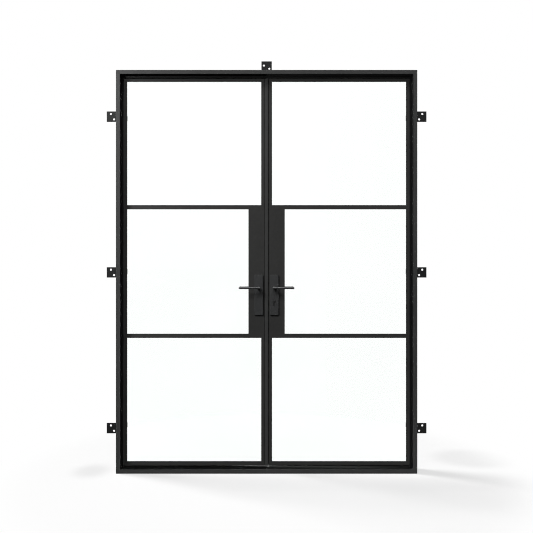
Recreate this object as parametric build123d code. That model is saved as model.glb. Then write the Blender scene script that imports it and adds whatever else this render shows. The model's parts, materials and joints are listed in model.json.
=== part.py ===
from build123d import *
import os

os.makedirs("parts", exist_ok=True)

# Glazed steel double door in its own frame, all sizes in millimetres.
# +X to the right seen from the front, +Y into the wall (front to back), +Z up.
# Origin: centre of the underside of the sill.

# ---------------------------------------------------------------- driving dimensions
FRAME_W = 1820.0        # outside width of the frame
FRAME_H = 2438.0        # outside height of the frame
FRAME_D = 116.0         # depth of the frame, front to back
FACE = 25.4             # visible face of every frame tube
FRAME_WALL = 2.5        # wall of the frame tubes

DOOR_T = 44.5           # thickness of a leaf
DOOR_BACK = 57.0        # y of the back face of the leaves
SIGHT = 25.4            # visible width of stiles and rails
MUNTIN_H = 26.0         # visible height of the muntins
REBATE = 16.0           # glazing rebate at hinge stiles and rails: the front flange past the tube
REBATE_IN = 8.0         # glazing rebate at the meeting stiles and the lock panels
WEB_H = 4.7             # half thickness of a muntin's web
FLANGE_T = 3.0          # thickness of the front flange
TUBE_WALL = 2.0         # wall of the leaf tubes
SIDE_GAP = 3.2          # leaf to jamb
TOP_GAP = 2.6           # leaf to head
BOTTOM_GAP = 5.0        # leaf to sill

LEFT_EDGE = -12.5       # meeting edge of the left leaf's stile
RIGHT_EDGE = 12.0       # meeting edge of the right leaf's stile
DAYLIGHT_IN = 33.1      # daylight edge beside the meeting stiles
DAYLIGHT_OUT = 856.0    # daylight edge beside the hinge stiles
PANEL_EDGE = 111.4      # outer edge of the lock panels
MUNTIN_OFF = 394.8      # muntins above and below the middle of the leaf

STRIP_X0, STRIP_X1 = -10.5, 8.5   # raised strip of the astragal
STRIP_PROUD = 6.0                 # how far the strip stands in front of the leaves
GROOVE = 4.0                      # depth of the shadow groove beside the strip

STOP_P = 10.0           # projection of the door stop
STOP_Y0, STOP_Y1 = -16.0, 9.0
GASKET_Y1 = 12.2

TAB_P = 68.0            # how far an anchor tab stands out of the frame
TAB_H = 63.5            # width of a tab along the frame
TAB_T = 5.0
TAB_HOLE_R = 6.5
TAB_HOLE_OUT, TAB_HOLE_IN, TAB_HOLE_OFF = 42.5, 23.5, 16.5
TAB_Z = (262.0, 1215.0, 2168.0)

HINGE_X, HINGE_Y = 883.2, 67.0    # hinge axes
HINGE_Z = (270.0, 1220.0, 2170.0)
KNUCKLE_R, PIN_R, PIN_CLEAR = 8.0, 5.0, 0.05
KNUCKLE_H = 33.0
KNUCKLE_GAP = 0.5

LEVER_Z = 1120.0
CYLINDER_Z = 1032.0
LEVER_X = {-1: -49.0, 1: 47.0}
LEVER_IN = {-1: -38.5, 1: 36.5}   # inner end of each lever bar
LEVER_TIP = {-1: -168.5, 1: 168.0}
PLATE_W, PLATE_T = 52.0, 10.0
PLATE_Z0, PLATE_Z1 = 954.0, 1199.0
HUB_R, BAR_R = 10.0, 6.0
BAR_OFF = 50.0          # lever bar's axis to the face of the leaf
PLATE_SCREW_Z = (967.0, 1186.0)

LATCH_Z, LATCH_H = 1155.0, 18.0
BOLT_Z, BOLT_H = 1068.0, 24.0
LATCH_TRAVEL = 12.0
BOLT_THROW = 20.0
BOLT_T = 11.4

ROD_X, ROD_Y, ROD_R, TIP_R = -2.0, 47.5, 4.0, 5.0
ROD_TRAVEL = 17.0

LITE_T = 5.0
TAPE_T = 2.0
SPACER_T = 12.0
EDGE_CLEAR = 2.0        # glass to the walls of its rebate
SPACER_W = 4.0          # width of the spacer frame
BEAD_F, BEAD_B = 5.4, 3.0   # thickness of a glazing bead at the glass and at its back

# ---------------------------------------------------------------- derived
HALF_W = FRAME_W / 2
YF, YB = -FRAME_D / 2, FRAME_D / 2
JAMB_IN = HALF_W - FACE
HEAD_IN = FRAME_H - FACE
DOOR_FRONT = DOOR_BACK - DOOR_T
MID_Y = (DOOR_FRONT + DOOR_BACK) / 2
LEAF_OUT = JAMB_IN - SIDE_GAP
LEAF_Z0 = FACE + BOTTOM_GAP
LEAF_Z1 = HEAD_IN - TOP_GAP
TUBE_W = SIGHT - REBATE
DAY_Z0 = LEAF_Z0 + SIGHT
DAY_Z1 = LEAF_Z1 - SIGHT
MUNTIN_Z = ((DAY_Z0 + DAY_Z1) / 2 - MUNTIN_OFF, (DAY_Z0 + DAY_Z1) / 2 + MUNTIN_OFF)
FLANGE_Y = DOOR_FRONT + FLANGE_T
Y_TAPE1 = FLANGE_Y + TAPE_T
Y_LITE1 = Y_TAPE1 + LITE_T
Y_SPACER = Y_LITE1 + SPACER_T
Y_LITE2 = Y_SPACER + LITE_T
Y_TAPE2 = Y_LITE2 + TAPE_T          # front face of the glazing beads


def box(x0, x1, y0, y1, z0, z1):
    """A box between two corners, in any order."""
    x0, x1 = sorted((x0, x1))
    y0, y1 = sorted((y0, y1))
    z0, z1 = sorted((z0, z1))
    return Pos((x0 + x1) / 2, (y0 + y1) / 2, (z0 + z1) / 2) * Box(x1 - x0, y1 - y0, z1 - z0)


def cyl_y(x, z, r, y0, y1):
    return Pos(x, (y0 + y1) / 2, z) * Rot(90, 0, 0) * Cylinder(r, abs(y1 - y0))


def cyl_z(x, y, r, z0, z1):
    return Pos(x, y, (z0 + z1) / 2) * Cylinder(r, abs(z1 - z0))


def cyl_x(y, z, r, x0, x1):
    return Pos((x0 + x1) / 2, y, z) * Rot(0, 90, 0) * Cylinder(r, abs(x1 - x0))


def plate_xz(points, y0, y1):
    """A flat outline of (x, z) points, given thickness from y0 to y1."""
    face = make_face(Polyline(*[(x, y0, z) for x, z in points], close=True))
    return extrude(face, amount=y1 - y0, dir=(0, 1, 0))


def solids_of(shape):
    return list(shape.solids())


def write(name, *shapes):
    """Write every solid of the given shapes as one STEP file."""
    found = [s for shape in shapes for s in solids_of(shape)]
    out = found[0] if len(found) == 1 else Compound(children=found)
    out.label = name
    export_step(out, f"parts/{name}.step")


def near(a, b, m=0.2):
    """Do the boxes of two shapes come within m of each other?"""
    p, q = a.bounding_box(), b.bounding_box()
    return all(
        getattr(p.min, k) - m < getattr(q.max, k) and getattr(q.min, k) - m < getattr(p.max, k)
        for k in ("X", "Y", "Z")
    )


def cut(shape, tools):
    """Take away the tools that reach the shape."""
    tools = [t for t in tools if near(shape, t)]
    return shape - tools if tools else shape


# ---------------------------------------------------------------- frame: four mitred tubes
def frame_tube(points, hollow, holes=()):
    return cut(plate_xz(points, YF, YB) - hollow, list(holes))


W, H, F, t = HALF_W, FRAME_H, FACE, FRAME_WALL
bolt_ways = [
    cyl_z(ROD_X, ROD_Y, TIP_R + 0.4, HEAD_IN - 1, HEAD_IN + t + 1),
    cyl_z(ROD_X, ROD_Y, TIP_R + 0.4, FACE - t - 1, FACE + 1),
]
write("frame_head", frame_tube(
    [(-W, H), (W, H), (W - F, H - F), (-W + F, H - F)],
    box(-W - 1, W + 1, YF + t, YB - t, H - F + t, H - t), bolt_ways))
write("frame_sill", frame_tube(
    [(-W, 0), (W, 0), (W - F, F), (-W + F, F)],
    box(-W - 1, W + 1, YF + t, YB - t, t, F - t), bolt_ways))
for s, side in ((-1, "left"), (1, "right")):
    write(f"frame_{side}_jamb", frame_tube(
        [(s * W, 0), (s * W, H), (s * (W - F), H - F), (s * (W - F), F)],
        box(s * (W - t), s * (W - F + t), YF + t, YB - t, -1, H + 1)))

# door stops: flat bars on both jambs and under the head
write("door_stops",
      box(-JAMB_IN, -JAMB_IN + STOP_P, STOP_Y0, STOP_Y1, FACE, HEAD_IN),
      box(JAMB_IN, JAMB_IN - STOP_P, STOP_Y0, STOP_Y1, FACE, HEAD_IN),
      box(-JAMB_IN + STOP_P, JAMB_IN - STOP_P, STOP_Y0, STOP_Y1, HEAD_IN - STOP_P, HEAD_IN))
# soft seals on the back of the stops, just clear of the closed leaves
write("stop_gaskets",
      box(-LEAF_OUT + 0.4, -LEAF_OUT + 6.2, STOP_Y1, GASKET_Y1, FACE, HEAD_IN - STOP_P + 6.0),
      box(LEAF_OUT - 0.4, LEAF_OUT - 6.2, STOP_Y1, GASKET_Y1, FACE, HEAD_IN - STOP_P + 6.0),
      box(-LEAF_OUT + 6.2, LEAF_OUT - 6.2, STOP_Y1, GASKET_Y1, HEAD_IN - STOP_P + 0.6, HEAD_IN - STOP_P + 6.0))

# anchor tabs: flat plates welded to the outside of the frame, two diagonal holes each
tabs = []
for s in (-1, 1):
    for z in TAB_Z:
        tab = box(s * HALF_W, s * (HALF_W + TAB_P), -TAB_T / 2, TAB_T / 2, z - TAB_H / 2, z + TAB_H / 2)
        tabs.append(tab - [
            cyl_y(s * (HALF_W + TAB_HOLE_OUT), z + TAB_HOLE_OFF, TAB_HOLE_R, -9, 9),
            cyl_y(s * (HALF_W + TAB_HOLE_IN), z - TAB_HOLE_OFF, TAB_HOLE_R, -9, 9)])
tab = box(-TAB_H / 2, TAB_H / 2, -TAB_T / 2, TAB_T / 2, FRAME_H, FRAME_H + TAB_P)
tabs.append(tab - [
    cyl_y(-TAB_HOLE_OFF, FRAME_H + TAB_HOLE_OUT, TAB_HOLE_R, -9, 9),
    cyl_y(TAB_HOLE_OFF, FRAME_H + TAB_HOLE_IN, TAB_HOLE_R, -9, 9)])
write("anchor_tabs", *tabs)

# ---------------------------------------------------------------- hinges: welded barrels on the back
frame_knuckles, pins = [], []
for s in (-1, 1):
    for zc in HINGE_Z:
        z0 = zc - 1.5 * KNUCKLE_H - KNUCKLE_GAP
        for k in (0, 2):
            a = z0 + k * (KNUCKLE_H + KNUCKLE_GAP)
            b = a + KNUCKLE_H
            ring = cyl_z(s * HINGE_X, HINGE_Y, KNUCKLE_R, a, b)
            ring += box(s * (HALF_W - 2), s * HINGE_X, YB, YB + 3, a, b)
            frame_knuckles.append(ring - cyl_z(s * HINGE_X, HINGE_Y, PIN_R, a - 1, b + 1))
        top = z0 + 3 * KNUCKLE_H + 2 * KNUCKLE_GAP
        pin = cyl_z(s * HINGE_X, HINGE_Y, PIN_R - PIN_CLEAR, z0 - 1.5, top)
        head = cyl_z(s * HINGE_X, HINGE_Y, KNUCKLE_R - 1, top, top + 3)
        pins.append(pin + chamfer(head.edges().sort_by(Axis.Z)[-1], 1.2))
write("frame_hinge_knuckles", *frame_knuckles)
write("hinge_pins", *pins)


# ---------------------------------------------------------------- glazing
def rebates(s):
    """Walls of the rebates round the three panes of a leaf, from the bottom up: x0, x1, z0, z1."""
    out = []
    for i in range(3):
        x0, x1 = sorted((s * ((PANEL_EDGE if i == 1 else DAYLIGHT_IN) - REBATE_IN), s * (DAYLIGHT_OUT + REBATE)))
        z0 = LEAF_Z0 + TUBE_W if i == 0 else MUNTIN_Z[i - 1] + WEB_H
        z1 = LEAF_Z1 - TUBE_W if i == 2 else MUNTIN_Z[i] - WEB_H
        out.append((x0, x1, z0, z1))
    return out


def inset(walls, d, y0, y1):
    """A box that stands d inside the walls of a rebate."""
    x0, x1, z0, z1 = walls
    return box(x0 + d, x1 - d, y0, y1, z0 + d, z1 - d)


def ring(walls, near_wall, far, y0, y1):
    """A flat frame between two distances from the walls of a rebate."""
    return inset(walls, near_wall, y0, y1) - inset(walls, far, y0 - 1, y1 + 1)


def screw(grow=0.0, length=8.0):
    """Countersunk screw with its head's top at the origin, pointing down -Z."""
    r, head = 1.75 + grow, 3.4 + grow
    cone = Pos(0, 0, -(head - r) / 2) * Cone(r, head, head - r)
    shank = Pos(0, 0, -(length + grow) / 2) * Cylinder(r, length + grow)
    return cone + shank


def beads_and_screws(walls):
    """Four bevelled beads in a rebate, thinner towards the back, their countersunk screws and the holes for them."""
    x0, x1, z0, z1 = walls
    y0, y1, yc = Y_TAPE2, DOOR_BACK, (Y_TAPE2 + DOOR_BACK) / 2
    slope = Vector(0, BEAD_F - BEAD_B, y1 - y0).normalized()
    bars, places = [], []
    for z, d in ((z0, 1), (z1, -1)):
        outline = [(x0, y0, z), (x0, y1, z), (x0, y1, z + d * BEAD_B), (x0, y0, z + d * BEAD_F)]
        bars.append(extrude(make_face(Polyline(*outline, close=True)), amount=x1 - x0, dir=(1, 0, 0)))
        for k in range(4):
            x = x0 + 60 + k * (x1 - x0 - 120) / 3
            places.append(((x, yc, z + d * (BEAD_F + BEAD_B) / 2), (0, slope.Y, d * slope.Z)))
    for x, d in ((x0, 1), (x1, -1)):
        outline = [(x, y0, z0), (x, y1, z0), (x + d * BEAD_B, y1, z0), (x + d * BEAD_F, y0, z0)]
        bars.append(extrude(make_face(Polyline(*outline, close=True)), amount=z1 - z0, dir=(0, 0, 1)) - bars[:2])
        for k in range(3):
            z = z0 + 70 + k * (z1 - z0 - 140) / 2
            places.append(((x + d * (BEAD_F + BEAD_B) / 2, yc, z), (d * slope.Z, slope.Y, 0)))
    screws = [Plane(origin=p, z_dir=d) * screw() for p, d in places]
    holes = [Plane(origin=p, z_dir=d) * (screw(0.06, 9.0) + Pos(0, 0, 0.5) * Cylinder(3.46, 1.0)) for p, d in places]
    return [cut(b, holes) for b in bars], screws, holes


# ---------------------------------------------------------------- lock furniture shapes
def cylinder_profile(x, z, grow, y0, y1):
    """Keyed cylinder's outline: a round head with a rounded fin below."""
    r, f = 8.5 + grow, 5.0 + grow
    body = cyl_y(x, z, r, y0, y1) + cyl_y(x, z - 19.5, f, y0, y1)
    return body + box(x - f, x + f, y0, y1, z - 19.5, z)


def lever(s, back):
    """Hub and round bar of one lever. The back one mirrors the front one through the leaf."""
    x = LEVER_X[s]
    yb = DOOR_FRONT - BAR_OFF
    bar = cyl_x(yb, LEVER_Z, BAR_R, LEVER_IN[s], LEVER_TIP[s])
    bar = fillet(bar.edges().filter_by(GeomType.CIRCLE), 1.2)
    hub = cyl_y(x, LEVER_Z, HUB_R, yb, DOOR_FRONT - 6.0)
    hub = chamfer(hub.edges().filter_by(GeomType.CIRCLE).sort_by(Axis.Y)[0], 1.0)
    out = hub + bar - box(x - 4, x + 4, DOOR_FRONT - 24, DOOR_FRONT, LEVER_Z - 4, LEVER_Z + 4)
    return mirror(out, about=Plane.XZ.offset(-MID_Y)) if back else out


def handle_plate(s, back):
    x = LEVER_X[s]
    y0, y1 = DOOR_FRONT - PLATE_T, DOOR_FRONT
    body = box(x - PLATE_W / 2, x + PLATE_W / 2, y0, y1, PLATE_Z0, PLATE_Z1)
    front = body.faces().sort_by(Axis.Y)[0]
    body = chamfer(front.edges(), 1.0)
    body -= cyl_y(x, LEVER_Z, HUB_R + 0.3, y0 - 1, y1 + 1)
    if s > 0:
        body -= cylinder_profile(x, CYLINDER_Z, 0.25, y0 - 1, y1 + 1)
    for z in PLATE_SCREW_Z:
        if back:
            hole = Plane(origin=(x, y0, z), z_dir=(0, -1, 0)) * through_screw(0.06)
        else:
            hole = cyl_y(x, z, 2.56, y0 + 3.4, y1 + 1)
        body -= hole
    return mirror(body, about=Plane.XZ.offset(-MID_Y)) if back else body


THROUGH_L = PLATE_T + DOOR_T + PLATE_T - 4.0


def through_screw(grow=0.0):
    """Long countersunk screw that ties the two handle plates together."""
    r, head = 2.5 + grow, 5.2 + grow
    cone = Pos(0, 0, -(head - r) / 2) * Cone(r, head, head - r)
    return cone + Pos(0, 0, -(THROUGH_L + grow) / 2) * Cylinder(r, THROUGH_L + grow)


# ---------------------------------------------------------------- the two leaves
for s, side in ((-1, "left"), (1, "right")):
    edge = LEFT_EDGE if s < 0 else RIGHT_EDGE
    inner = s * (DAYLIGHT_IN - REBATE_IN)   # glass side of the meeting stile's tube
    outer = s * (DAYLIGHT_OUT + REBATE)     # glass side of the hinge stile's tube
    w = TUBE_WALL
    lx = LEVER_X[s]

    beads, screws, holes = [], [], []
    for walls in rebates(s):
        b, sc, h = beads_and_screws(walls)
        beads += b
        screws += sc
        holes += h
    write(f"{side}_glazing_beads", *beads)
    write(f"{side}_bead_screws", *screws)

    # openings for the lock furniture, through the lock panel
    furniture = [cyl_y(lx, LEVER_Z, HUB_R + 1.0, DOOR_FRONT - 1, FLANGE_Y + 1),
                 cyl_y(lx, LEVER_Z, HUB_R + 1.0, DOOR_BACK - 4, DOOR_BACK + 1)]
    for z in PLATE_SCREW_Z:
        furniture.append(cyl_y(lx, z, 2.8, DOOR_FRONT - 1, DOOR_BACK + 1))
    if s > 0:
        furniture.append(cylinder_profile(lx, CYLINDER_Z, 0.5, DOOR_FRONT - 1, DOOR_BACK + 1))
        # mortise for the lock: forend in the edge wall, case through the inner wall
        mortise = [box(edge - 1, edge + w + 0.5, MID_Y - 10.05, MID_Y + 10.05, 979.9, 1195.1),
                   box(edge + w, inner + 1, MID_Y - 7.75, MID_Y + 7.75, 999.7, 1176.3)]
    else:
        # slots that the two drive arms of the shoot bolts travel in
        mortise = [box(inner - 1, edge + w + 1, 43.5, 51.5, 1147.0, 1176.0),
                   box(inner - 1, edge + w + 1, 43.5, 51.5, 1064.0, 1093.0)]

    # stiles: rolled tubes with a glazing flange flush with the front
    hinge_stile = box(outer, s * LEAF_OUT, DOOR_FRONT, DOOR_BACK, LEAF_Z0, LEAF_Z1)
    hinge_stile -= box(outer + s * w, s * (LEAF_OUT - w), DOOR_FRONT + w, DOOR_BACK - w, LEAF_Z0 + w, LEAF_Z1 - w)
    hinge_stile += box(s * DAYLIGHT_OUT, outer, DOOR_FRONT, FLANGE_Y, LEAF_Z0 + TUBE_W, LEAF_Z1 - TUBE_W)
    write(f"{side}_hinge_stile", cut(hinge_stile, holes))

    meeting_stile = box(edge, inner, DOOR_FRONT, DOOR_BACK, LEAF_Z0, LEAF_Z1)
    meeting_stile -= box(edge + s * w, inner - s * w, DOOR_FRONT + w, DOOR_BACK - w, LEAF_Z0 + w, LEAF_Z1 - w)
    meeting_stile += box(inner, s * DAYLIGHT_IN, DOOR_FRONT, FLANGE_Y, LEAF_Z0 + TUBE_W, LEAF_Z1 - TUBE_W)
    write(f"{side}_meeting_stile", cut(cut(meeting_stile, holes), mortise))

    # rails between the stiles
    for name, z_out, d in (("bottom", LEAF_Z0, 1), ("top", LEAF_Z1, -1)):
        z_in = z_out + d * TUBE_W
        rail = box(inner, outer, DOOR_FRONT, DOOR_BACK, z_out, z_in)
        rail -= box(inner - s, outer + s, DOOR_FRONT + w, DOOR_BACK - w, z_out + d * w, z_in - d * w)
        rail += box(s * DAYLIGHT_IN, s * DAYLIGHT_OUT, DOOR_FRONT, FLANGE_Y, z_in, z_in + d * REBATE)
        write(f"{side}_{name}_rail", cut(rail, holes))

    # muntins: T section, hollow web behind a flat front flange
    muntins = []
    for z in MUNTIN_Z:
        web = box(inner, outer, FLANGE_Y, DOOR_BACK, z - WEB_H, z + WEB_H)
        web -= box(inner - s, outer + s, FLANGE_Y + w, DOOR_BACK - w, z - WEB_H + w, z + WEB_H - w)
        web += box(s * DAYLIGHT_IN, s * DAYLIGHT_OUT, DOOR_FRONT, FLANGE_Y, z - MUNTIN_H / 2, z + MUNTIN_H / 2)
        muntins.append(cut(web, holes))
    write(f"{side}_muntins", *muntins)

    # lock panel: sheet box between the muntins, flush with the leaf
    z0, z1 = MUNTIN_Z[0] + WEB_H, MUNTIN_Z[1] - WEB_H
    wall_x = s * (PANEL_EDGE - REBATE_IN)
    panel = box(s * DAYLIGHT_IN, s * PANEL_EDGE, DOOR_FRONT, FLANGE_Y, MUNTIN_Z[0] + MUNTIN_H / 2, MUNTIN_Z[1] - MUNTIN_H / 2)
    panel += box(wall_x, wall_x - s * 3, FLANGE_Y, DOOR_BACK, z0, z1)
    panel += box(inner, wall_x, DOOR_BACK - 3, DOOR_BACK, z0, z1)
    write(f"{side}_lock_panel", cut(cut(panel, holes), furniture))

    # sealed double glazing: two lites, a spacer frame, and tape on both faces
    spacers, tapes = [], []
    for name, walls in zip(("bottom", "middle", "top"), rebates(s)):
        write(f"{side}_{name}_glass",
              inset(walls, EDGE_CLEAR, Y_TAPE1, Y_LITE1),
              inset(walls, EDGE_CLEAR, Y_SPACER, Y_LITE2))
        spacers.append(ring(walls, EDGE_CLEAR, EDGE_CLEAR + SPACER_W, Y_LITE1, Y_SPACER))
        tapes.append(ring(walls, EDGE_CLEAR, BEAD_F, FLANGE_Y, Y_TAPE1))
        tapes.append(ring(walls, EDGE_CLEAR, BEAD_F, Y_LITE2, Y_TAPE2))
    write(f"{side}_glass_spacers", *spacers)
    write(f"{side}_glazing_tape", *tapes)

    # leaf half of the hinges
    knuckles = []
    for zc in HINGE_Z:
        a, b = zc - KNUCKLE_H / 2, zc + KNUCKLE_H / 2
        k = cyl_z(s * HINGE_X, HINGE_Y, KNUCKLE_R, a, b)
        k += box(s * HINGE_X, outer, DOOR_BACK, DOOR_BACK + 4, a, b)
        knuckles.append(k - cyl_z(s * HINGE_X, HINGE_Y, PIN_R, a - 1, b + 1))
    write(f"{side}_hinge_knuckles", *knuckles)

    # handle plates, through screws, levers
    write(f"{side}_front_plate", handle_plate(s, False))
    write(f"{side}_back_plate", handle_plate(s, True))
    write(f"{side}_plate_screws", *[
        Plane(origin=(lx, DOOR_BACK + PLATE_T, z), z_dir=(0, 1, 0)) * through_screw()
        for z in PLATE_SCREW_Z])
    write(f"{side}_front_lever", lever(s, False))
    write(f"{side}_back_lever", lever(s, True))

# ---------------------------------------------------------------- astragal on the left leaf
w = TUBE_WALL
body_y0 = DOOR_FRONT + GROOVE
astragal = box(LEFT_EDGE, STRIP_X1, body_y0, DOOR_BACK, LEAF_Z0, LEAF_Z1)
astragal -= box(LEFT_EDGE + w, STRIP_X1 - w, body_y0 + w, DOOR_BACK - w, LEAF_Z0 + 3, LEAF_Z1 - 3)
astragal += box(STRIP_X0, STRIP_X1, DOOR_FRONT - STRIP_PROUD, body_y0, LEAF_Z0, HEAD_IN - STOP_P - 2.0)
astragal += box(STRIP_X0, STRIP_X1, DOOR_FRONT, body_y0, HEAD_IN - STOP_P - 2.0, LEAF_Z1)
strike_z0, strike_z1 = 1040.0, 1182.0
astragal = cut(astragal, [
    cyl_z(ROD_X, ROD_Y, TIP_R + 0.3, LEAF_Z0 - 1, LEAF_Z0 + 5),
    cyl_z(ROD_X, ROD_Y, TIP_R + 0.3, LEAF_Z1 - 5, LEAF_Z1 + 1),
    box(STRIP_X1 - w - 0.05, STRIP_X1 + 1, MID_Y - 10.05, MID_Y + 10.05, strike_z0 - 0.05, strike_z1 + 0.05),
    box(LEFT_EDGE - 1, LEFT_EDGE + w + 1, 43.5, 51.5, 1147.0, 1176.0),
    box(LEFT_EDGE - 1, LEFT_EDGE + w + 1, 43.5, 51.5, 1064.0, 1093.0)])
write("astragal", astragal)

# strike plate, let into the astragal's edge
strike = box(STRIP_X1 - w, STRIP_X1, MID_Y - 10, MID_Y + 10, strike_z0, strike_z1)
write("strike_plate", strike - [
    box(0, 20, MID_Y - 6.6, MID_Y + 6.6, LATCH_Z - LATCH_H / 2 - 2, LATCH_Z + LATCH_H / 2 + 2),
    box(0, 20, MID_Y - 6.6, MID_Y + 6.6, BOLT_Z - BOLT_H / 2 - 1.5, BOLT_Z + BOLT_H / 2 + 1.5)])

# shoot bolts: rod, thicker tip, and the arm that the gearbox drives
top_bolt = cyl_z(ROD_X, ROD_Y, ROD_R, 1150.0, LEAF_Z1 - 30)
top_bolt += chamfer(cyl_z(ROD_X, ROD_Y, TIP_R, LEAF_Z1 - 30, LEAF_Z1 - 0.5).edges().sort_by(Axis.Z)[-1], 1.0)
top_bolt += box(ROD_X, -38.0, 45.0, 50.0, 1150.0, 1156.0)
write("top_shoot_bolt", top_bolt)
low_bolt = cyl_z(ROD_X, ROD_Y, ROD_R, LEAF_Z0 + 30, 1090.0)
low_bolt += chamfer(cyl_z(ROD_X, ROD_Y, TIP_R, LEAF_Z0 + 0.5, LEAF_Z0 + 30).edges().sort_by(Axis.Z)[0], 1.0)
low_bolt += box(ROD_X, -38.0, 45.0, 50.0, 1084.0, 1090.0)
write("bottom_shoot_bolt", low_bolt)


# gearbox of the left leaf, inside its lock panel
def case(x0, x1, y0, y1, z0, z1, wall=1.5):
    return box(x0, x1, y0, y1, z0, z1) - box(x0 + wall, x1 - wall, y0 + wall, y1 - wall, z0 + wall, z1 - wall)


gearbox = case(-80.0, -25.6, 25.0, 53.5, 1050.0, 1182.0) - [
    cyl_y(LEVER_X[-1], LEVER_Z, 8.0, 20, 60),
    box(-29.0, -20.0, 43.5, 51.5, 1147.0, 1176.0),
    box(-29.0, -20.0, 43.5, 51.5, 1064.0, 1093.0)]
write("passive_gearbox", gearbox)

# lock case of the right leaf: forend plate and case in one
y0, y1 = MID_Y - 7.5, MID_Y + 7.5
rx = LEVER_X[1]
lock = case(RIGHT_EDGE + 2.0, 72.0, y0, y1, 1000.0, 1176.0)
lock += box(RIGHT_EDGE, RIGHT_EDGE + 2.0, MID_Y - 10, MID_Y + 10, 980.0, 1195.0)
lock -= [
    box(0, 20, MID_Y - BOLT_T / 2 - 0.3, MID_Y + BOLT_T / 2 + 0.3, LATCH_Z - LATCH_H / 2 - 0.3, LATCH_Z + LATCH_H / 2 + 0.3),
    box(0, 20, MID_Y - BOLT_T / 2 - 0.3, MID_Y + BOLT_T / 2 + 0.3, BOLT_Z - BOLT_H / 2 - 0.3, BOLT_Z + BOLT_H / 2 + 0.3),
    cyl_y(rx, LEVER_Z, 8.0, 20, 50),
    cylinder_profile(rx, CYLINDER_Z, 0.25, 20, 50)]
write("lock_case", lock)

# latch bolt with a bevelled nose, and dead bolt
nose = STRIP_X1 + 0.9
latch = box(nose, nose + 45, MID_Y - BOLT_T / 2, MID_Y + BOLT_T / 2, LATCH_Z - LATCH_H / 2, LATCH_Z + LATCH_H / 2)
bevel = Pos(nose, MID_Y - BOLT_T / 2, LATCH_Z) * Rot(0, 0, 45) * Box(13.0, 13.0, LATCH_H + 2)
write("latch_bolt", latch - bevel)
write("deadbolt", box(RIGHT_EDGE, RIGHT_EDGE + 45, MID_Y - BOLT_T / 2, MID_Y + BOLT_T / 2, BOLT_Z - BOLT_H / 2, BOLT_Z + BOLT_H / 2))

# spindles: square bar with the follower that turns in the lock
for s, side, fy0, fy1 in ((-1, "left", 28.0, 42.0), (1, "right", 30.0, 39.5)):
    x = LEVER_X[s]
    bar = box(x - 3.9, x + 3.9, DOOR_FRONT - 23.5, DOOR_BACK + 23.5, LEVER_Z - 3.9, LEVER_Z + 3.9)
    write(f"{side}_spindle", bar + cyl_y(x, LEVER_Z, 12.0, fy0, fy1))

# keyed cylinder: body, key plug at the front, thumbturn with stem and cam at the back
PLUG_R = 6.4
cyl_front, cyl_back = DOOR_FRONT - PLATE_T, DOOR_BACK + PLATE_T
body = cylinder_profile(rx, CYLINDER_Z, 0.0, cyl_front, cyl_back)
body -= [cyl_y(rx, CYLINDER_Z, PLUG_R + 0.05, cyl_front - 1, cyl_back + 1),
         box(rx - 12, rx + 12, MID_Y - 5.3, MID_Y + 5.3, CYLINDER_Z - 14, CYLINDER_Z + 12)]
write("lock_cylinder", body)
plug = cyl_y(rx, CYLINDER_Z, PLUG_R, cyl_front, MID_Y - 5.6)
plug -= [box(rx - 1.1, rx + 1.1, cyl_front - 1, cyl_front + 12, CYLINDER_Z - 4.6, CYLINDER_Z + 3.8),
         box(rx - 1.1, rx + 2.2, cyl_front - 1, cyl_front + 12, CYLINDER_Z - 1.2, CYLINDER_Z + 1.0)]
write("key_plug", plug)
turn = cyl_y(rx, CYLINDER_Z, PLUG_R, MID_Y - 4.7, cyl_back + 0.4)
turn += cyl_y(rx, CYLINDER_Z, 8.2, MID_Y - 4.5, MID_Y + 4.5)
turn += box(rx - 4, rx + 4, MID_Y - 4.5, MID_Y + 4.5, CYLINDER_Z, CYLINDER_Z + 12.4)
collar = cyl_y(rx, CYLINDER_Z, 10.0, cyl_back + 0.4, cyl_back + 5.0)
grip = box(rx - 4.5, rx + 4.5, cyl_back + 5.0, cyl_back + 21.0, CYLINDER_Z - 15, CYLINDER_Z + 15)
grip = fillet(grip.edges().filter_by(Axis.Y), 4.0)
grip = fillet(grip.faces().sort_by(Axis.Y)[-1].edges(), 1.2)
write("thumbturn", turn + collar + grip)
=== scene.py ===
import json
import math

import bmesh
import bpy
import numpy as np
from mathutils import Matrix, Vector

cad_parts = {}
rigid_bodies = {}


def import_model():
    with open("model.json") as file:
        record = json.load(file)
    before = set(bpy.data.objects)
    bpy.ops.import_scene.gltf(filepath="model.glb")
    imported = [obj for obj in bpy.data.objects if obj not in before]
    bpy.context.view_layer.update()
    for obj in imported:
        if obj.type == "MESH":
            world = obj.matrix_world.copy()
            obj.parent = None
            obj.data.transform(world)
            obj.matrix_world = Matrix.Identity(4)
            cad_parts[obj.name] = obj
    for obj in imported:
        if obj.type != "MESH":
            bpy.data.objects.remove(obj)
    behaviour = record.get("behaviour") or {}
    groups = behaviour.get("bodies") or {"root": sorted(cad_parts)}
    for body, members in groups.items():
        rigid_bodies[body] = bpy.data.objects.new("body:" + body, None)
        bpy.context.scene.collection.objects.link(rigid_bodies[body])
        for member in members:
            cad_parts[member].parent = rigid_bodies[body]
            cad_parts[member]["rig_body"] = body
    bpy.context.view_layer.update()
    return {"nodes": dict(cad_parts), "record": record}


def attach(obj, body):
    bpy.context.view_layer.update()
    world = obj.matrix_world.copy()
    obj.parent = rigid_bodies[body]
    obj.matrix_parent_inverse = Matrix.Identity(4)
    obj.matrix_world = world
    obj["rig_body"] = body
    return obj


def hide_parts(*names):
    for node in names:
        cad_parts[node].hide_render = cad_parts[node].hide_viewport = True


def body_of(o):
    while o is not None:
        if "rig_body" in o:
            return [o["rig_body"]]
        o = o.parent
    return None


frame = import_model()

nodes = frame["nodes"]
MM = 0.001
scene = bpy.context.scene

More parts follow.
